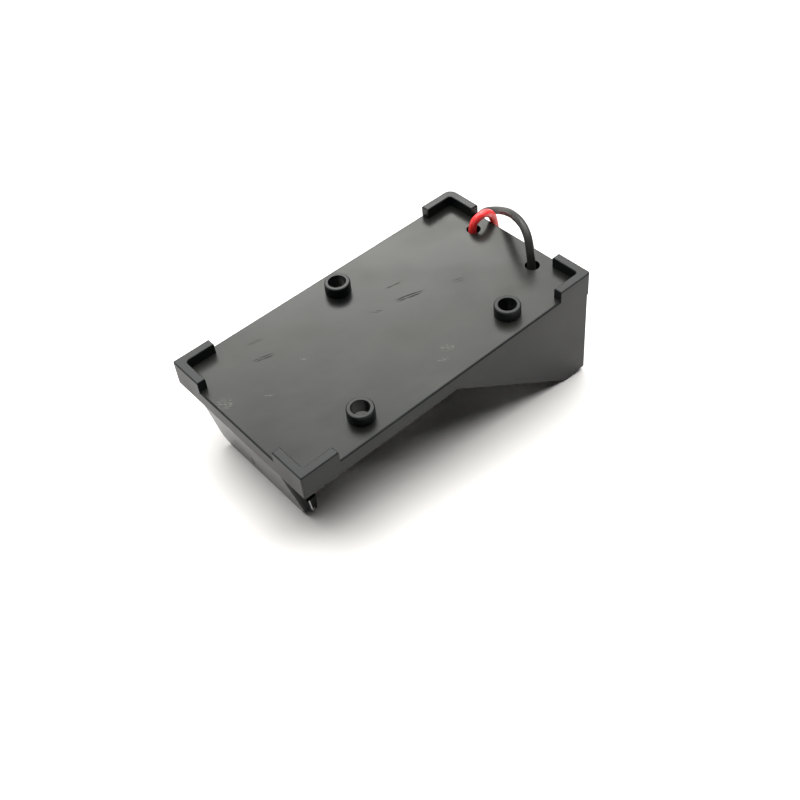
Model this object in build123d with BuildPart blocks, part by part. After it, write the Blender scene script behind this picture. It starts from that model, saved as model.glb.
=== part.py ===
from build123d import *
from math import pi, radians, sin, tan
import os

os.makedirs("parts", exist_ok=True)

# Nine-volt battery holder, lying upside down as on a bench. Its plate's outer face is Z 0 and faces up.
# +X points to the end with the contacts, and the battery bay opens downward. All sizes are millimetres.

# The battery that the holder is made for
battery_length = 46.4
battery_width = 26.5
battery_depth = 17.5
terminal_pitch = 12.7
terminal_height = 3.0
stud_diameter = 5.8
socket_diameter = 8.6

# Moulded body
wall = 1.4
floor_thickness = 1.8
rim_depth = 2.5
rim_proud = 0.15
wall_depth = 18.2
end_wall_step = 0.3
slope_start = 0.0
partition = 0.9
chamber_length = 2.85
latch_room = 2.8
width_clearance = 0.4
inner_corner = 0.4
low_corner = 0.3
near_high_corner = 0.5
far_high_corner = 1.4
rim_edge = 0.1
plate_edge = 0.3

# Feet and screw bosses on the plate
foot_height = 1.75
foot_width = 1.4
foot_arm = 6.3
foot_round = 0.2
foot_inner_corner = 0.5
boss_diameter = 4.0
boss_round = 0.25
boss_row = 11.0
boss_half_spacing = 13.95
screw_hole = 2.8
screw_head = 5.2

# Spring tongue at the low end
tongue_root_width = 17.8
tongue_tip_width = 20.0
tongue_length = 11.2
tongue_lean = 12.1
tongue_thickness = 1.1
tongue_corner = 1.3
lip_catch = 2.65
lip_tip = 1.95
lip_inset = 0.2
lip_length = 2.5
lip_round = 0.2
slit_width = 0.5
slit_length = 1.8
slit_from_tip = 2.9
slit_side = 1.5

# Contacts, bent from sheet
sheet = 0.25
sheet_clearance = 0.05
positive_width = 5.0
negative_width = 6.4
tab_width = 2.6
tab_drop = 2.6
tab_clearance = 0.25
tab_root = 0.8
leaf_travel = 1.525
leaf_tail = 3.9
leaf_bend = 1.2
tail_gap = 0.4
fork_root = 2.5
contact_rise = 1.2
fork_gap = 1.0
bend = 0.4
fold_width = 0.88
rail_width = 0.7
rail_depth = 0.9
terminal_clearance = 0.4

# Leads
wire = 1.3
wire_hole = 2.3
core = 0.5
core_hole = 0.8
bare_length = 0.8
tinned_length = 5.0
solder_width = 1.6
solder_height = 0.7
solder_drop = 0.45
solder_edge = 0.1

# The tied hank that the leads end in
hank_start = -2.9
hank_run = 26.0
hank_row = 15.95
hank_fold = 3.9
end_room = {"red": 5.9, "black": 10.4}
tie_width = 3.0
tie_sheet = 0.35

# Places that follow from the sizes
bay_width = battery_width + width_clearance
body_width = bay_width + 2 * (wall + rim_proud)
body_length = latch_room + battery_length + partition + chamber_length + wall + rim_proud
low_end = -body_length / 2
high_end = body_length / 2
wall_end = high_end - rim_proud
bay_start = low_end + rim_proud + wall
chamber_end = wall_end - wall
chamber_start = chamber_end - chamber_length
partition_face = chamber_start - partition
terminal_z = -floor_thickness - battery_depth / 2
hole_x = chamber_start + wire_hole / 2
strip_x = chamber_end - sheet_clearance - sheet / 2
leaf_x = partition_face + terminal_height - leaf_travel
tab_z = -floor_thickness - tab_drop
contact_bottom = contact_rise - wall_depth
sheath_start = tab_z + sheet / 2 + bare_length
hank_end = hank_start - hank_run
near_side = hank_row - wire / 2
lead_side = near_side + wire
far_side = lead_side + wire + 2 * hank_fold
boss_places = [(0, boss_row), (-boss_half_spacing, -boss_row), (boss_half_spacing, -boss_row)]

# The tongue leans in from the low end, and its local Y runs down its outer face
lean = radians(tongue_lean)
tongue_root = Vector(low_end + rim_proud, 0, -rim_depth)
tongue_down = Vector(sin(lean), 0, -(1 - sin(lean) ** 2) ** 0.5)
tongue_plane = Plane(tongue_root, x_dir=(0, 1, 0), z_dir=tongue_down.cross(Vector(0, 1, 0)))
tongue_side = Plane(tongue_root, x_dir=tongue_down, z_dir=(0, -1, 0))
tongue_tip = tongue_root + tongue_down * tongue_length

# The table that the holder rests on, under the tongue's tip and the deep walls' inner end
rest_edge = Vector(chamber_start, 0, -wall_depth)
rest_along = (rest_edge - tongue_tip).normalized()
table = Plane(rest_edge, x_dir=rest_along, z_dir=rest_along.cross(Vector(0, 1, 0)))


def on_table(along, across, height):
    return table.from_local_coords(Vector(along, across, height))


# Outline of the plate, with the two corners of the high end rounded unlike
with BuildSketch() as outline:
    Rectangle(body_length, body_width)
    fillet(outline.vertices().group_by(Axis.X)[0], low_corner)
    fillet(outline.vertices().group_by(Axis.X)[-1].sort_by(Axis.Y)[0], near_high_corner)
    fillet(outline.vertices().group_by(Axis.X)[-1].sort_by(Axis.Y)[-1], far_high_corner)

# Walls below the rim: deep round the contacts, and sloping up to the rim at mid-length
with BuildPart() as walls:
    with BuildSketch():
        add(outline.sketch)
        offset(amount=-rim_proud, mode=Mode.REPLACE)
    extrude(amount=-wall_depth)
    with BuildSketch(Plane.XZ):
        with BuildLine():
            Polyline(
                (slope_start, -floor_thickness),
                (slope_start, -rim_depth),
                (chamber_start, -wall_depth),
                (chamber_end, -wall_depth),
                (chamber_end, end_wall_step - wall_depth),
                (high_end, end_wall_step - wall_depth),
                (high_end, -floor_thickness),
                close=True,
            )
        make_face()
    extrude(amount=body_width, both=True, mode=Mode.INTERSECT)

# Body: base pan, walls, bay and chamber, partition, feet, bosses and tongue in one moulding
with BuildPart() as holder_body:
    add(outline.sketch)
    extrude(amount=-rim_depth)
    chamfer(faces().sort_by(Axis.Z)[0].edges(), rim_edge)
    fillet(faces().sort_by(Axis.Z)[-1].edges(), plate_edge)
    add(walls.part)

    # Battery bay and contact chamber, with the partition left between them
    with BuildSketch(Plane.XY.offset(-floor_thickness)):
        with Locations(((bay_start + partition_face) / 2, 0)):
            Rectangle(partition_face - bay_start, bay_width)
        with Locations(((chamber_start + chamber_end) / 2, 0)):
            Rectangle(chamber_length, bay_width)
        fillet(vertices(), inner_corner)
    extrude(amount=-wall_depth, mode=Mode.SUBTRACT)

    # Slots that let the terminals through the partition from the mouth
    with BuildSketch(Plane.YZ.offset(partition_face)):
        for side, terminal in ((1, stud_diameter), (-1, socket_diameter)):
            slot_width = terminal + 2 * terminal_clearance
            with Locations((side * terminal_pitch / 2, terminal_z)):
                Circle(slot_width / 2)
            with Locations((side * terminal_pitch / 2, terminal_z - wall_depth / 2)):
                Rectangle(slot_width, wall_depth)
    extrude(amount=partition, mode=Mode.SUBTRACT)

    # Rails that hold the contacts against the end wall
    with BuildSketch(Plane.XY.offset(-floor_thickness)):
        for side, contact_width in ((1, positive_width), (-1, negative_width)):
            for edge in (-1, 1):
                rail_side = contact_width / 2 + sheet_clearance + rail_width / 2
                rail_y = side * terminal_pitch / 2 + edge * rail_side
                with Locations((chamber_end - rail_depth / 2, rail_y)):
                    Rectangle(rail_depth, rail_width)
    extrude(amount=-(wall_depth - floor_thickness - contact_rise))

    # An L-shaped foot stands on each corner of the plate
    with BuildSketch(Plane.XY.offset(-plate_edge)):
        add(outline.sketch)
        RectangleRounded(
            body_length - 2 * foot_width,
            body_width - 2 * foot_width,
            foot_inner_corner,
            mode=Mode.SUBTRACT,
        )
        Rectangle(body_length - 2 * foot_arm, body_width, mode=Mode.SUBTRACT)
        Rectangle(body_length, body_width - 2 * foot_arm, mode=Mode.SUBTRACT)
    extrude(amount=plate_edge + foot_height)
    fillet(faces().group_by(Axis.Z)[-1].edges(), foot_round)

    # Screw bosses, bored through and countersunk from the bay so that the battery lies flat
    with BuildSketch():
        with Locations(*boss_places):
            Circle(boss_diameter / 2)
    extrude(amount=foot_height)
    boss_rims = edges().filter_by(GeomType.CIRCLE).group_by(Axis.Z)[-1]
    fillet(boss_rims, boss_round)
    with Locations(*[Plane((x, y, -floor_thickness), z_dir=(0, 0, -1)) for x, y in boss_places]):
        CounterSinkHole(screw_hole / 2, screw_head / 2, counter_sink_angle=90)

    # One hole for each lead beside the partition
    with Locations((hole_x, terminal_pitch / 2, 0), (hole_x, -terminal_pitch / 2, 0)):
        Hole(wire_hole / 2, depth=floor_thickness)

    # The tongue flares towards its tip, where a lip on its inner side catches the battery
    with BuildSketch(tongue_plane):
        with BuildLine():
            Polyline(
                (-tongue_root_width / 2, 0),
                (-tongue_tip_width / 2, tongue_corner - tongue_length),
                (tongue_corner - tongue_tip_width / 2, -tongue_length),
                (tongue_tip_width / 2 - tongue_corner, -tongue_length),
                (tongue_tip_width / 2, tongue_corner - tongue_length),
                (tongue_root_width / 2, 0),
                close=True,
            )
        make_face()
    extrude(amount=tongue_thickness)
    with BuildSketch(tongue_plane):
        with Locations((slit_side, slit_from_tip - tongue_length)):
            SlotOverall(slit_length, slit_width, rotation=90)
    extrude(amount=tongue_thickness, mode=Mode.SUBTRACT)
    with BuildSketch(tongue_side):
        with BuildLine():
            Polyline(
                (tongue_length - lip_length, tongue_thickness),
                (tongue_length - lip_length, lip_catch),
                (tongue_length, lip_tip),
                (tongue_length, tongue_thickness),
                close=True,
            )
        make_face()
        fillet(vertices().sort_by(Axis.X)[-2:], lip_round)
    extrude(amount=tongue_tip_width / 2 - lip_inset, both=True)

holder_body.part.label = "holder_body"
export_step(holder_body.part, "parts/holder_body.step")


# Contact: a leaf folded back from the strip along the end wall, and a tab that takes the lead's core
def make_contact(side, width):
    contact_y = side * terminal_pitch / 2
    with BuildPart() as contact:
        with BuildSketch(Plane.XZ.offset(-contact_y)):
            with BuildLine():
                FilletPolyline(
                    (strip_x, tab_z - tab_root),
                    (strip_x, contact_bottom),
                    (strip_x - fold_width, contact_bottom),
                    (leaf_x, terminal_z),
                    (strip_x - tail_gap, terminal_z + leaf_tail),
                    radius=[bend, bend, leaf_bend],
                )
            trace(line_width=sheet)
        extrude(amount=width / 2, both=True)
        with BuildSketch(Plane.YZ.offset(chamber_start)):
            with Locations((contact_y, contact_bottom + fork_root)):
                Rectangle(fork_gap, wall_depth, align=(Align.CENTER, Align.MIN))
        extrude(amount=strip_x - sheet - chamber_start, mode=Mode.SUBTRACT)
        with BuildSketch(Plane.XZ.offset(-contact_y)):
            with BuildLine():
                FilletPolyline(
                    (chamber_start + tab_clearance, tab_z),
                    (strip_x, tab_z),
                    (strip_x, tab_z - tab_root - bend),
                    radius=bend,
                )
            trace(line_width=sheet)
        extrude(amount=tab_width / 2, both=True)
        with BuildSketch(Plane.XY.offset(tab_z)):
            with Locations((hole_x, contact_y)):
                Circle(core_hole / 2)
        extrude(amount=sheet, both=True, mode=Mode.SUBTRACT)
    return contact.part


# Stripped core from the end of the sheath down through the tab, and the solder round it
def make_inner_core(side):
    with BuildPart() as inner_core:
        with BuildSketch(Plane.XY.offset(tab_z - sheet / 2 - solder_drop)):
            with Locations((hole_x, side * terminal_pitch / 2)):
                Circle(core / 2)
        extrude(amount=sheath_start - tab_z + sheet / 2 + solder_drop)
    return inner_core.part


def make_solder(side):
    with BuildPart() as solder:
        core_axis = Axis((hole_x, side * terminal_pitch / 2, tab_z), (0, 0, 1))
        with BuildSketch(Plane(core_axis.position, x_dir=(1, 0, 0), z_dir=(0, -1, 0))):
            with BuildLine():
                Polyline(
                    (core / 2, sheet / 2 + solder_height),
                    (core / 2 + solder_edge, sheet / 2 + solder_height),
                    (solder_width / 2, sheet / 2),
                    (core_hole / 2, sheet / 2),
                    (core_hole / 2, -sheet / 2),
                    (solder_width / 2 - solder_edge, -sheet / 2),
                    (core / 2 + solder_edge, -sheet / 2 - solder_drop),
                    (core / 2, -sheet / 2 - solder_drop),
                    close=True,
                )
            make_face()
        revolve(axis=core_axis)
    return solder.part


# Lead: a round tube along its route, with every bend as wide as its two runs allow
def bend_radii(points):
    radii = []
    for before, corner, after in zip(points, points[1:], points[2:]):
        turn = (corner - before).get_angle(after - corner)
        shorter = min((corner - before).length, (after - corner).length)
        radii.append(0.45 * shorter / tan(radians(turn / 2)))
    return radii


def make_lead(name, points):
    radii = bend_radii(points)
    with BuildPart() as lead:
        with BuildLine() as route:
            FilletPolyline(*points, radius=radii)
        path = route.wire()
        with BuildSketch(Plane(path @ 0, z_dir=path % 0)):
            Circle(wire / 2)
        sweep()
    swept = pi * wire**2 / 4 * path.length
    print(name, "bends", [round(radius, 2) for radius in radii])
    print(name, "tube", round(path.length, 2), "volume", round(lead.part.volume, 3), "of", round(swept, 3))
    folded = 3 * hank_run - end_room[name] + pi * (2 * hank_fold + wire / 2)
    stripped = bare_length + sheet + solder_drop + tinned_length
    print(name, "lead from solder to tip", round(path.length + folded + stripped, 1))
    return lead.part


# Hank: the rest of a lead folded to and fro in one layer on the table, as one slab of its outer shape
def make_hank(name, height):
    with BuildPart() as hank:
        with BuildSketch(table.offset(height)):
            end_round = (far_side - near_side) / 2
            start_round = (far_side - lead_side) / 2
            with BuildLine():
                Polyline((hank_start, lead_side), (hank_start, near_side), (hank_end, near_side))
                bulge = (hank_end - end_round, near_side + end_round)
                ThreePointArc((hank_end, near_side), bulge, (hank_end, far_side))
                Line((hank_end, far_side), (hank_start, far_side))
                bulge = (hank_start + start_round, lead_side + start_round)
                ThreePointArc((hank_start, far_side), bulge, (hank_start, lead_side))
            make_face()
            with Locations(((hank_start + hank_end) / 2, far_side - hank_fold - wire / 2)):
                SlotCenterToCenter(hank_run, 2 * hank_fold - wire, mode=Mode.SUBTRACT)
            with Locations((hank_end, near_side + end_round)):
                Circle(hank_fold, mode=Mode.SUBTRACT)
            with Locations((hank_end, lead_side)):
                Rectangle(end_room[name], 2 * wire, align=Align.MIN, mode=Mode.SUBTRACT)
        extrude(amount=wire)
    return hank.part


def make_tinned_end(name, height):
    sheath_end = on_table(hank_end + end_room[name], hank_row + wire, height + wire / 2)
    with BuildPart() as tinned_end:
        with BuildSketch(Plane(sheath_end, z_dir=-table.x_dir)):
            Circle(core / 2)
        extrude(amount=tinned_length)
    return tinned_end.part


red_route = [
    Vector(hole_x, terminal_pitch / 2, sheath_start),
    Vector(23.4, 6.55, 0.8),
    Vector(25.5, 5.75, 2.75),
    Vector(28.0, 6.0, 1.0),
    Vector(28.2, 5.6, -3.4),
    Vector(28.4, 6.0, -9.0),
    Vector(28.9, 6.8, -14.0),
    on_table(7.0, 8.3, 0.9),
    on_table(7.8, 12.7, 0.85),
    on_table(4.6, hank_row, tie_sheet + wire / 2),
    on_table(hank_start, hank_row, tie_sheet + wire / 2),
]
black_route = [
    Vector(hole_x, -terminal_pitch / 2, sheath_start),
    Vector(24.0, -6.1, 2.4),
    Vector(25.0, -4.0, 5.4),
    Vector(27.4, 1.0, 4.0),
    Vector(29.8, 6.4, 0.5),
    Vector(30.0, 11.1, -2.5),
    Vector(30.3, 12.2, -7.0),
    Vector(30.1, 12.8, -11.0),
    on_table(6.6, 14.8, 4.6),
    on_table(3.6, hank_row, tie_sheet + wire + wire / 2),
    on_table(hank_start, hank_row, tie_sheet + wire + wire / 2),
]

leads = {
    "red": (1, red_route, tie_sheet),
    "black": (-1, black_route, tie_sheet + wire),
}
for colour, (side, route, height) in leads.items():
    pieces = {
        f"{colour}_lead": make_lead(colour, route),
        f"{colour}_hank": make_hank(colour, height),
        f"{colour}_inner_core": make_inner_core(side),
        f"{colour}_solder": make_solder(side),
        f"{colour}_tinned_end": make_tinned_end(colour, height),
    }
    for name, piece in pieces.items():
        piece.label = name
        export_step(piece, f"parts/{name}.step")

contact_positive = make_contact(1, positive_width)
contact_positive.label = "contact_positive"
export_step(contact_positive, "parts/contact_positive.step")
contact_negative = make_contact(-1, negative_width)
contact_negative.label = "contact_negative"
export_step(contact_negative, "parts/contact_negative.step")

# Tie round both hanks at the middle of their runs
with BuildPart() as lead_tie:
    tie_middle = on_table(hank_start - hank_run / 2, hank_row + wire / 2 + hank_fold, tie_sheet + wire)
    with BuildSketch(Plane(tie_middle, x_dir=(0, 1, 0), z_dir=table.x_dir)):
        RectangleRounded(2 * hank_fold + 2 * wire + 2 * tie_sheet, 2 * wire + 2 * tie_sheet, tie_sheet)
        Rectangle(2 * hank_fold + 2 * wire, 2 * wire, mode=Mode.SUBTRACT)
    extrude(amount=tie_width / 2, both=True)
lead_tie.part.label = "lead_tie"
export_step(lead_tie.part, "parts/lead_tie.step")
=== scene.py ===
import bpy
import numpy as np
from math import cos, hypot, radians, sin, sqrt
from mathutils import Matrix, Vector


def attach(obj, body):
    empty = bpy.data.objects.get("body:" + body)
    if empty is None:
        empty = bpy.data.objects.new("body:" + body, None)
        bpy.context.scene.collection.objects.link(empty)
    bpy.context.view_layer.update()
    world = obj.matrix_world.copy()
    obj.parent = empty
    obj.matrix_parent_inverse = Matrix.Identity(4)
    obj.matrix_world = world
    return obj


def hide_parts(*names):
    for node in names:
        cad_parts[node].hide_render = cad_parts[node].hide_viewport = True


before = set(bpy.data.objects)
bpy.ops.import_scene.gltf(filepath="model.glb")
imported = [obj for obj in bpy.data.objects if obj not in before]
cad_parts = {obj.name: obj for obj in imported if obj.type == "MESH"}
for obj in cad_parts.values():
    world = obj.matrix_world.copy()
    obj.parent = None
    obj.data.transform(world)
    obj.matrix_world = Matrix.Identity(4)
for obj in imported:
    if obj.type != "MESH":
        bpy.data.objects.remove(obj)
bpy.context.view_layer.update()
mm = 0.001
print("frame loaded")


# A shader socket that takes plain arithmetic
class Signal:
    def __init__(self, tree, socket=None):
        self.tree = tree
        self.socket = socket

    def node(self, kind, settings=None, inputs=None, out=0):  # any other node: its settings first, then its sockets
        made = self.tree.nodes.new("ShaderNode" + kind)
        for key, value in (settings or {}).items():
            setattr(made, key, value)
        for key, value in (inputs or {}).items():
            if isinstance(value, Signal):
                self.tree.links.new(value.socket, made.inputs[key])
            else:
                made.inputs[key].default_value = value
        return Signal(self.tree, made.outputs[out])

    def maths(self, operation, first, second):
        return self.node("Math", {"operation": operation}, {0: first, 1: second})

    def __add__(self, other):
        return self.maths("ADD", self, other)

    __radd__ = __add__

    def __sub__(self, other):
        return self.maths("SUBTRACT", self, other)

    def __rsub__(self, other):
        return self.maths("SUBTRACT", other, self)

    def __mul__(self, other):
        return self.maths("MULTIPLY", self, other)

    __rmul__ = __mul__

    def __truediv__(self, other):
        return self.maths("DIVIDE", self, other)

    def __rtruediv__(self, other):
        return self.maths("DIVIDE", other, self)

    def size(self):
        return self.maths("ABSOLUTE", self, 0)

    def most(self, other):
        return self.maths("MAXIMUM", self, other)

    def swing(self, share):  # how far a noise lies above or below its middle
        return (self - 0.5) * share

    def smooth(self, low, high):  # 0 below low, 1 above high, eased between
        limits = {"Value": self, "From Min": low, "From Max": high}
        return self.node("MapRange", {"interpolation_type": "SMOOTHSTEP"}, limits)

    def noise(self, scale, detail, roughness):  # a cloud of 0 to 1 on the wrapped coordinates
        return self.node("TexNoise", None, {"Vector": self, "Scale": scale, "Detail": detail, "Roughness": roughness})

    def stretched(self, turn, size, centre=(0, 0, 0)):  # the wrapped coordinates moved, turned about Z and scaled
        moved = self.node("VectorMath", {"operation": "SUBTRACT"}, {0: self, 1: centre})
        place = {"Vector": moved, "Rotation": (0, 0, radians(turn)), "Scale": size}
        return moved.node("Mapping", {"vector_type": "TEXTURE"}, place)

    def axes(self):
        return [self.node("SeparateXYZ", None, {"Vector": self}, axis) for axis in range(3)]

    def blend(self, first, second):  # the wrapped mask mixes two colours
        return self.node("Mix", {"data_type": "RGBA"}, {0: self, 6: first, 7: second}, 2)

    def bump(self, distance, strength):
        return self.node("Bump", None, {"Height": self, "Distance": distance, "Strength": strength})


def startMaterial(name, **constants):
    material = bpy.data.materials.new(name)
    material.use_nodes = True
    shader = material.node_tree.nodes["Principled BSDF"]
    for key, value in constants.items():
        shader.inputs[key.replace("_", " ")].default_value = value
    return material, shader, Signal(material.node_tree).node("TexCoord", out="Object")


def connect(shader, **links):
    for key, signal in links.items():
        signal.tree.links.new(signal.socket, shader.inputs[key.replace("_", " ")])


def inMetres(*lengths):
    return tuple(length * mm for length in lengths)


# Black moulded plastic of the body, with handling marks on the plate and a painted sheen, in mottled lighter and
# darker patches, on the plate's flat face
# In all the looks, lengths are in mm, a noise has scale, detail and roughness, and an edge has its start and its end
bodyLook = {
    "dark": (0.0065, 0.0078, 0.0083, 1),
    "light": (0.0108, 0.0124, 0.0130, 1),
    # painted sheen: colours of the plate's flat face that stand in for the softbox's light on it
    "plateSheenDark": (0.0010, 0.0016, 0.0016, 1),
    "plateSheenLight": (0.018, 0.019, 0.016, 1),
    "rubTone": (0.10, 0.10, 0.092, 1),
    "glintTone": (0.9, 0.9, 0.88, 1),
    "specular": 0.2,
    "coatRoughness": 0.3,
    "tonguePolish": 0.42,
    "plateRoughness": 0.315,
    "roughness": 0.36,
    "leastRoughness": 0.28,
    "cloud": (110.0, 2.0, 0.5),
    "cloudEdge": (0.3, 0.7),
    "smear": (75.0, 3.0, 0.5),
    "smearTurn": -20,
    "smearStretch": (1.0, 0.55, 1.0),
    "smearEdge": (0.34, 0.66),
    "drift": (34.0, 3.0, 0.5),
    "driftEdge": (0.36, 0.64),
    "grain": (2600.0, 2.0, 0.5),
    "plateSheenShares": {"drift": 0.4, "smear": 0.6},
    "roughnessShares": {"cloud": 0.12, "smear": 0.24, "drift": 0.03, "scratches": 0.35},
    "reliefShares": {"grain": 0.12, "rubs": 0.8, "scratches": 3.0},
    "reliefDistance": 0.01,
    "reliefStrength": 0.7,
    "plateEdge": (0.1, 0.4),
    "plateEndEdge": (26.9, 27.05),
    "plateSideEdge": (14.65, 14.8),
    "tongueRoot": (-27.1, -2.5),
    "tongueLean": 12.1,
    "tongueFaceEdge": (0.15, 0.4),
    "tongueRootEdge": (-0.2, 0.2),
}

# Marks on the plate: place, direction in degrees, half length, half width and strength
markShape = {"depth": 0.5, "edge": (0.5, 1.0), "strokePlace": 0.45, "strokeEdge": (0.13, 0.30)}
scratches = {
    "paired": True,
    "streakWidth": 0.12,
    "streaks": (500.0, 2.0, 0.5),
    "streakEdge": (0.38, 0.52),
    "marks": [
        (-16.7, 7.6, -15, 2.1, 0.50, 0.9),
        (-15.7, 11.2, -13, 1.7, 0.30, 0.45),
        (6.5, 5.7, -10, 1.7, 0.16, 0.9),
        (6.5, 2.1, -17, 2.9, 0.55, 1.0),
        (0.8, 3.2, -36, 1.5, 0.35, 0.35),
        (14.0, -0.7, -13, 1.3, 0.60, 0.4),
    ],
}
rubs = {
    "paired": False,
    "streakWidth": 0.3,
    "streaks": (1500.0, 2.0, 0.5),
    "streakEdge": (0.50, 0.64),
    "marks": [
        (-12.8, 3.3, -46, 0.7, 0.35, 0.9),
        (-26.0, 4.3, -33, 1.4, 1.3, 0.8),
        (-20.5, 1.1, -30, 1.0, 0.30, 0.6),
        (3.0, -9.8, -27, 1.3, 0.9, 0.9),
        (1.0, -11.2, -19, 1.0, 0.5, 0.7),
    ],
}

# Painted highlight on the lip's side, as bright lines: start and end as down and inward from the tongue's root, and
# half width
glints = {
    "lines": [((8.7, 1.4), (11.05, 1.12), 0.16), ((11.05, 1.12), (10.9, 1.57), 0.14)],
    "core": 0.4,
    "endFade": 0.1,
    "sideEdge": (-9.7, -9.6),
}


def markField(coords, settings):
    # each mark is a soft oval, filled with broken streaks along its direction, or with two thin strokes side by side
    field = None
    for x, y, turn, halfLength, halfWidth, strength in settings["marks"]:
        centre = inMetres(x, y, 0)
        local = coords.stretched(turn, inMetres(halfLength, halfWidth, markShape["depth"]), centre)
        reach = local.node("VectorMath", {"operation": "LENGTH"}, {0: local}, 1)
        streaks = coords.stretched(turn, (1.0, settings["streakWidth"], 1.0), centre).noise(*settings["streaks"])
        mark = (1 - reach.smooth(*markShape["edge"])) * streaks.smooth(*settings["streakEdge"]) * strength
        if settings["paired"]:
            offset = (local.axes()[1].size() - markShape["strokePlace"]).size()
            mark *= 1 - offset.smooth(*markShape["strokeEdge"])
        field = mark if field is None else field.most(mark)
    return field


def tongueAxes(x, z, look):  # how far down the tongue and how far in from its outer face
    rootX, rootZ = inMetres(*look["tongueRoot"])
    lean = radians(look["tongueLean"])
    down = (x - rootX) * sin(lean) - (z - rootZ) * cos(lean)
    inward = (x - rootX) * cos(lean) + (z - rootZ) * sin(lean)
    return down, inward


def glintField(down, inward, y, settings):
    field = None
    fade = settings["endFade"]
    for start, end, halfWidth in settings["lines"]:
        stepDown, stepInward = end[0] - start[0], end[1] - start[1]
        length = hypot(stepDown, stepInward)
        fromDown, fromInward = down - start[0] * mm, inward - start[1] * mm
        along = (fromDown * stepDown + fromInward * stepInward) / length
        across = (fromInward * stepDown - fromDown * stepInward) / length
        line = 1 - across.size().smooth(*inMetres(settings["core"] * halfWidth, halfWidth))
        line *= along.smooth(*inMetres(-fade, fade))
        line *= 1 - along.smooth(*inMetres(length - fade, length + fade))
        field = line if field is None else field.most(line)
    return field * (1 - y.smooth(*inMetres(*settings["sideEdge"])))


def plateField(x, y, z, look):  # 1 on the plate's flat face, 0 elsewhere
    near, far = inMetres(*look["plateEdge"])
    level = z.smooth(-far, -near) * (1 - z.smooth(near, far))
    past = x.size().smooth(*inMetres(*look["plateEndEdge"]))
    return level * (1 - past.most(y.size().smooth(*inMetres(*look["plateSideEdge"]))))


def makeBodyPlastic(look):
    material, shader, coords = startMaterial(
        "bodyPlastic", Specular_IOR_Level=look["specular"], Coat_Roughness=look["coatRoughness"])
    cloud = coords.noise(*look["cloud"])
    smear = coords.stretched(look["smearTurn"], look["smearStretch"]).noise(*look["smear"])
    drift = coords.noise(*look["drift"]).smooth(*look["driftEdge"])
    grain = coords.noise(*look["grain"])
    scratched = markField(coords, scratches)
    rubbed = markField(coords, rubs)
    x, y, z = coords.axes()
    plate = plateField(x, y, z, look)
    down, inward = tongueAxes(x, z, look)
    tongueFace = 1 - inward.smooth(*inMetres(*look["tongueFaceEdge"]))
    tongueFace *= down.smooth(*inMetres(*look["tongueRootEdge"]))

    # painted sheen: the plate's flat face gets a mottled lighter and darker colour in place of the light falling on
    # it
    share = look["plateSheenShares"]
    plateSheen = drift * share["drift"] + smear.smooth(*look["smearEdge"]) * share["smear"]
    toneWithSheen = plate.blend(
        cloud.smooth(*look["cloudEdge"]).blend(look["dark"], look["light"]),
        plateSheen.blend(look["plateSheenDark"], look["plateSheenLight"]))
    marked = rubbed.blend(toneWithSheen, look["rubTone"])
    # the painted highlight on the lip's side lies over the marked colour
    colour = glintField(down, inward, y, glints).blend(marked, look["glintTone"])

    share = look["roughnessShares"]
    mottle = cloud.swing(share["cloud"]) + smear.swing(share["smear"]) + drift.swing(share["drift"])
    satin = plate * (look["roughness"] - look["plateRoughness"])
    roughness = mottle + scratched * share["scratches"] + look["roughness"] - satin

    share = look["reliefShares"]
    relief = grain * share["grain"] + rubbed * share["rubs"] - scratched * share["scratches"]
    connect(
        shader,
        Base_Color=colour,
        Roughness=roughness.most(look["leastRoughness"]),
        Coat_Weight=tongueFace * look["tonguePolish"],
        Normal=relief.bump(look["reliefDistance"] * mm, look["reliefStrength"]),
    )
    return material


# Metals of the contacts, solder and strands: across is how narrow the brushing is over its direction
metalLooks = {
    "nickelSheet": {"dark": (0.56, 0.54, 0.50, 1), "light": (0.74, 0.72, 0.68, 1), "roughness": 0.24, "across": 0.05},
    "solder": {"dark": (0.50, 0.51, 0.53, 1), "light": (0.76, 0.77, 0.79, 1), "roughness": 0.18, "across": 1.0},
    "tinnedCopper": {"dark": (0.62, 0.55, 0.48, 1), "light": (0.80, 0.78, 0.74, 1), "roughness": 0.22, "across": 1.0},
}
metalGrain = {
    "brushed": (1500.0, 4.0, 0.6),
    "brushedShare": 0.2,
    "tarnish": (420.0, 3.0, 0.6),
    "tarnishEdge": (0.35, 0.75),
    "tarnishShare": 0.08,
    "reliefDistance": 0.006,
    "reliefStrength": 0.5,
}


def makeMetal(name, look, grain):
    material, shader, coords = startMaterial(name, Metallic=1.0)
    brushed = coords.stretched(0, (1.0, look["across"], 1.0)).noise(*grain["brushed"])
    tarnish = coords.noise(*grain["tarnish"])
    connect(
        shader,
        Base_Color=tarnish.smooth(*grain["tarnishEdge"]).blend(look["light"], look["dark"]),
        Roughness=brushed.swing(grain["brushedShare"]) + tarnish * grain["tarnishShare"] + look["roughness"],
        Normal=brushed.bump(grain["reliefDistance"] * mm, grain["reliefStrength"]),
    )
    return material


# Sheaths of the two leads, and the tie
sheathLooks = {
    "redSheath": {
        "deep": (1.0, 0.048, 0.052, 1), "light": (1.0, 0.090, 0.092, 1), "roughness": 0.3, "gloss": 0.5, "glow": 0.6},
    "blackSheath": {
        "deep": (0.027, 0.028, 0.027, 1), "light": (0.040, 0.041, 0.038, 1), "roughness": 0.42, "gloss": 0.22,
        "glow": 0.0},
    "tiePlastic": {
        "deep": (0.022, 0.022, 0.022, 1), "light": (0.042, 0.042, 0.042, 1), "roughness": 0.5, "gloss": 0.4,
        "glow": 0.0},
}
sheathGrain = {
    "glowDepth": 0.6,
    "cloud": (500.0, 3.0, 0.5),
    "cloudEdge": (0.25, 0.75),
    "cloudShare": 0.14,
    "grain": (3000.0, 3.0, 0.6),
    "grainShare": 0.08,
    "reliefDistance": 0.012,
    "reliefStrength": 0.5,
}


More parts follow.
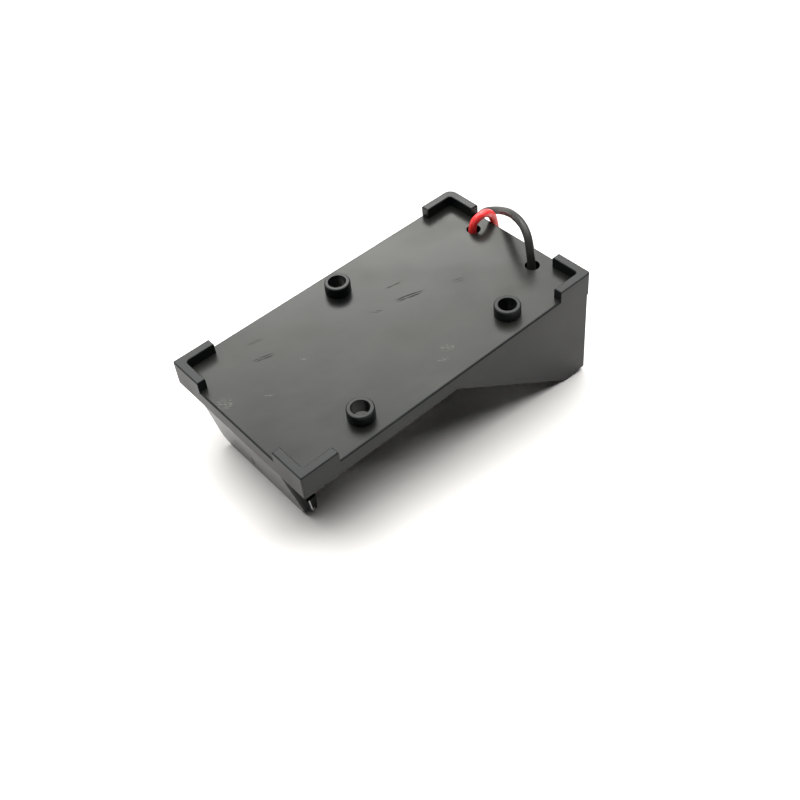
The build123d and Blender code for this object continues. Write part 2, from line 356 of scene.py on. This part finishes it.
def makeSheath(name, look, settings):
    material, shader, coords = startMaterial(
        name,
        Specular_IOR_Level=look["gloss"],
        Subsurface_Weight=look["glow"],
        Subsurface_Scale=settings["glowDepth"] * mm,
    )
    cloud = coords.noise(*settings["cloud"])
    grain = coords.noise(*settings["grain"])
    connect(
        shader,
        Base_Color=cloud.smooth(*settings["cloudEdge"]).blend(look["deep"], look["light"]),
        Roughness=cloud.swing(settings["cloudShare"]) + grain.swing(settings["grainShare"]) + look["roughness"],
        Normal=grain.bump(settings["reliefDistance"] * mm, settings["reliefStrength"]),
    )
    return material


materials = {"bodyPlastic": makeBodyPlastic(bodyLook)}
for name, look in metalLooks.items():
    materials[name] = makeMetal(name, look, metalGrain)
for name, look in sheathLooks.items():
    materials[name] = makeSheath(name, look, sheathGrain)
print("materials made")


def gridMesh(name, grid, materialName):
    # grid holds rings of points along a path; each ring is closed, and a flat face closes each end
    rings, around = grid.shape[:2]
    ring = np.arange(around)
    onward = (ring + 1) % around
    row = np.arange(rings - 1)[:, None] * around
    quads = np.stack([row + ring, row + onward, row + around + onward, row + around + ring], -1)
    faces = quads.reshape(-1, 4).tolist()
    faces.append(ring[::-1].tolist())
    faces.append((ring + (rings - 1) * around).tolist())
    mesh = bpy.data.meshes.new(name)
    mesh.from_pydata(grid.reshape(-1, 3).tolist(), [], faces)
    mesh.polygons.foreach_set("use_smooth", np.ones(len(faces), dtype=bool))
    mesh.materials.append(materials[materialName])
    piece = bpy.data.objects.new(name, mesh)
    bpy.context.scene.collection.objects.link(piece)
    return piece


# The table under the holder, which stands on its tongue and its deep walls
tableEdge = np.array([22.85, 0.0, -18.2]) * mm
tableAlong = np.array([0.99504009, 0.0, -0.09947469])
tableAcross = np.array([0.0, 1.0, 0.0])
tableUp = np.array([0.09947469, 0.0, 0.99504009])


def onTable(along, across, height):  # all in mm, as the routes are
    place = tableEdge + (tableAlong * along + tableAcross * across + tableUp * height) * mm
    return tuple(place / mm)


# Leads, in mm: each one is a smooth line from its solder joint over the edge to its hank behind the holder
leadSettings = {
    "diameter": 1.3,
    "length": 150.0,
    "hankStart": -2.9,
    "hankEnd": -28.9,
    "hankRow": 15.95,
    "foldRadii": (4.55, 3.9),
    "stepsPerPoint": 10,
    "roundness": 7,
}
leads = {
    "red": {
        "hankHeight": 1.0,
        "endRoom": 5.9,
        "route": [
            (24.0, 6.35, -3.475),
            (23.4, 6.55, 0.8),
            (25.5, 5.75, 2.75),
            (28.0, 6.0, 1.0),
            (28.2, 5.6, -3.4),
            (28.4, 6.0, -9.0),
            (28.9, 6.8, -14.0),
            onTable(7.0, 8.3, 0.9),
            onTable(7.8, 12.7, 0.85),
            onTable(4.6, 15.95, 1.0),
            onTable(-2.9, 15.95, 1.0),
        ],
    },
    "black": {
        "hankHeight": 2.3,
        "endRoom": 10.4,
        "route": [
            (24.0, -6.35, -3.475),
            (24.0, -6.1, 2.4),
            (25.0, -4.0, 5.4),
            (27.4, 1.0, 4.0),
            (29.8, 6.4, 0.5),
            (30.0, 11.1, -2.5),
            (30.3, 12.2, -7.0),
            (30.1, 12.8, -11.0),
            onTable(6.6, 14.8, 4.6),
            onTable(3.6, 15.95, 2.3),
            onTable(-2.9, 15.95, 2.3),
        ],
    },
}


def hankPoints(height, endRoom, settings):
    # runs to and fro, with six points round each fold: two on the runs and four on an eight-sided ring
    points = []
    across = settings["hankRow"]
    folds = zip((settings["hankEnd"], settings["hankStart"]), (-1, 1), (1, -1), settings["foldRadii"])
    for end, outward, side, radius in folds:
        corner = (sqrt(2) - 1) * radius
        ring = [
            (-corner, 0),
            (corner, 0),
            (radius, radius - corner),
            (radius, radius + corner),
            (corner, 2 * radius),
            (-corner, 2 * radius),
        ]
        for away, over in ring:
            points.append(onTable(end + outward * away, across + side * over, height))
        across += side * 2 * radius
    points.append(onTable(settings["hankEnd"] + endRoom, across, height))
    return points


def makeCord(name, points, materialName, settings):
    curve = bpy.data.curves.new(name, "CURVE")
    curve.dimensions = "3D"
    line = curve.splines.new("NURBS")
    line.points.add(len(points) - 1)
    places = np.ones((len(points), 4))
    places[:, :3] = np.array(points) * mm
    line.points.foreach_set("co", places.ravel())
    line.order_u = 3
    line.use_endpoint_u = True
    line.resolution_u = settings["stepsPerPoint"]
    curve.bevel_depth = settings["diameter"] * mm / 2
    curve.bevel_resolution = settings["roundness"]
    curve.use_fill_caps = True
    curve.materials.append(materials[materialName])
    cord = bpy.data.objects.new(name, curve)
    bpy.context.scene.collection.objects.link(cord)
    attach(cord, "root")
    return cord


# Far ends of the leads: tinned strands laid in a twist, with their radii, pitch and length in mm
strandSettings = {
    "bundle": 0.25,
    "strand": 0.083,
    "pitch": 3.2,
    "length": 5.0,
    "outerStrands": 6,
    "rings": 60,
    "sides": 12,
    "tipSteepness": 40,
    "tipLeast": 0.02,
}


def makeStrands(name, start, direction, settings):
    # the outer strands run on helices round a straight one, each with a round section that narrows at its ends
    direction = np.array(direction) / np.linalg.norm(direction)
    other = np.cross(direction, tableAcross)
    steps = np.linspace(0, 1, settings["rings"])
    fromTip = np.minimum(steps, 1 - steps) * settings["tipSteepness"]
    radii = settings["strand"] * np.minimum(1, np.sqrt(np.clip(fromTip, settings["tipLeast"], 1)))
    turn = np.linspace(0, 2 * np.pi, settings["sides"], endpoint=False)
    section = np.outer(np.cos(turn), tableAcross) + np.outer(np.sin(turn), other)
    outer = settings["outerStrands"]
    bundle = []
    for strand in range(outer + 1):
        swing = settings["bundle"] - settings["strand"] if strand < outer else 0.0
        angle = 2 * np.pi * (strand / outer + steps * settings["length"] / settings["pitch"])
        centre = np.outer(steps * settings["length"], direction)
        centre += swing * (np.outer(np.cos(angle), tableAcross) + np.outer(np.sin(angle), other))
        grid = centre[:, None, :] + radii[:, None, None] * section[None]
        bundle.append(gridMesh(f"{name}_{strand}", (grid + np.array(start)) * mm, "tinnedCopper"))
    with bpy.context.temp_override(active_object=bundle[0], selected_editable_objects=bundle):
        bpy.ops.object.join()
    bundle[0].name = name
    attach(bundle[0], "root")
    return bundle[0]


for colour, lead in leads.items():
    points = lead["route"] + hankPoints(lead["hankHeight"], lead["endRoom"], leadSettings)
    cord = makeCord(f"{colour}_cord", points, f"{colour}Sheath", leadSettings)
    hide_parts(f"{colour}_lead", f"{colour}_hank")
    strands = makeStrands(f"{colour}_strands", points[-1], -tableAlong, strandSettings)
    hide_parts(f"{colour}_tinned_end")
    inMetres(*lead["route"][0])
    [strands, "lead_tie"] if colour == "red" else [strands]
print("leads made")

# Materials of the nodes that stay as the CAD made them
nodeLooks = {
    "holder_body": "bodyPlastic",
    "contact_positive": "nickelSheet",
    "contact_negative": "nickelSheet",
    "red_solder": "solder",
    "black_solder": "solder",
    "red_inner_core": "tinnedCopper",
    "black_inner_core": "tinnedCopper",
    "lead_tie": "tiePlastic",
}
for node, look in nodeLooks.items():
    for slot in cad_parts[node].material_slots:
        slot.material = materials[look]
print("nodes dressed")

# Pale table, just below the holder's lowest points, and a pale backdrop that only the camera sees
# The size of the table is in metres, its gap to the holder in mm
tableLook = {
    "tone": (0.87, 0.85, 0.835, 1),
    "speckle": (90.0, 3.0, 0.5),
    "speckleEdge": (0.2, 0.8),
    "speckleShade": 0.985,
    "roughness": 0.7,
    "size": 1.24,
    "gap": 0.012,
}
worldLook = {"glow": 0.03, "backdrop": 0.97}


def makeTable(settings):
    material, shader, coords = startMaterial("paleTable", Roughness=settings["roughness"])
    shaded = tuple(value * settings["speckleShade"] for value in settings["tone"])
    speckle = coords.noise(*settings["speckle"]).smooth(*settings["speckleEdge"])
    connect(shader, Base_Color=speckle.blend(settings["tone"], shaded))
    half = settings["size"] / 2
    middle = tableEdge - tableUp * settings["gap"] * mm
    signs = ((-1, -1), (1, -1), (1, 1), (-1, 1))
    corners = [tuple(middle + tableAlong * half * a + tableAcross * half * b) for a, b in signs]
    mesh = bpy.data.meshes.new("table_top")
    mesh.from_pydata(corners, [], [(0, 1, 2, 3)])
    mesh.materials.append(material)
    table = bpy.data.objects.new("table_top", mesh)
    bpy.context.scene.collection.objects.link(table)


def makeWorld(settings):
    world = bpy.data.worlds.new("pale_room")
    bpy.context.scene.world = world
    world.use_nodes = True
    backdrop = world.node_tree.nodes["Background"]
    backdrop.inputs["Color"].default_value = (1, 1, 1, 1)
    seen = Signal(world.node_tree).node("LightPath", out="Is Camera Ray")
    connect(backdrop, Strength=seen * settings["backdrop"] + settings["glow"])


# Soft light from behind and above, and a window that shows only as a sheen on the plate, both in metres and watts
lights = {
    "ceiling_softbox": {
        "towards": (0.23, 0.29, 0.92),
        "distance": 0.72,
        "size": (1.40, 1.05),
        "watts": 22.0,
        "tint": (1.0, 1.0, 0.985),
        "sheenOnly": False,
    },
    "back_window": {
        "towards": (0.447, 0.680, 0.581),
        "distance": 0.85,
        "size": (0.38, 0.16),
        "watts": 2.65,
        "tint": (1.0, 1.0, 0.94),
        "sheenOnly": True,
    },
}

# The photograph's camera: place and clip in metres, turn in degrees, lens and sensor in mm
cameraSettings = {
    "place": (-0.06948, -0.09470, 0.11191),
    "turn": (45.2116, 5.5895, -40.4935),
    "lens": 50.05,
    "sensor": 36.0,
    "shift": (0.03741, -0.06929),
    "clip": (0.01, 20.0),
}


def makeLight(name, settings):
    light = bpy.data.lights.new(name, "AREA")
    light.shape = "RECTANGLE"
    light.size, light.size_y = settings["size"]
    light.energy = settings["watts"]
    light.color = settings["tint"]
    lamp = bpy.data.objects.new(name, light)
    away = Vector(settings["towards"]).normalized()
    lamp.location = away * settings["distance"]
    lamp.rotation_euler = away.to_track_quat("Z", "Y").to_euler()
    lamp.visible_diffuse = not settings["sheenOnly"]
    bpy.context.scene.collection.objects.link(lamp)


def makeCamera(settings):
    lens = bpy.data.cameras.new("camera")
    lens.lens = settings["lens"]
    lens.sensor_width = settings["sensor"]
    lens.shift_x, lens.shift_y = settings["shift"]
    lens.clip_start, lens.clip_end = settings["clip"]
    camera = bpy.data.objects.new("camera", lens)
    camera.location = settings["place"]
    camera.rotation_euler = [radians(angle) for angle in settings["turn"]]
    bpy.context.scene.collection.objects.link(camera)
    bpy.context.scene.camera = camera


makeTable(tableLook)
makeWorld(worldLook)
for name, settings in lights.items():
    makeLight(name, settings)
makeCamera(cameraSettings)
bpy.context.scene.view_settings.view_transform = "Standard"
print("studio made")
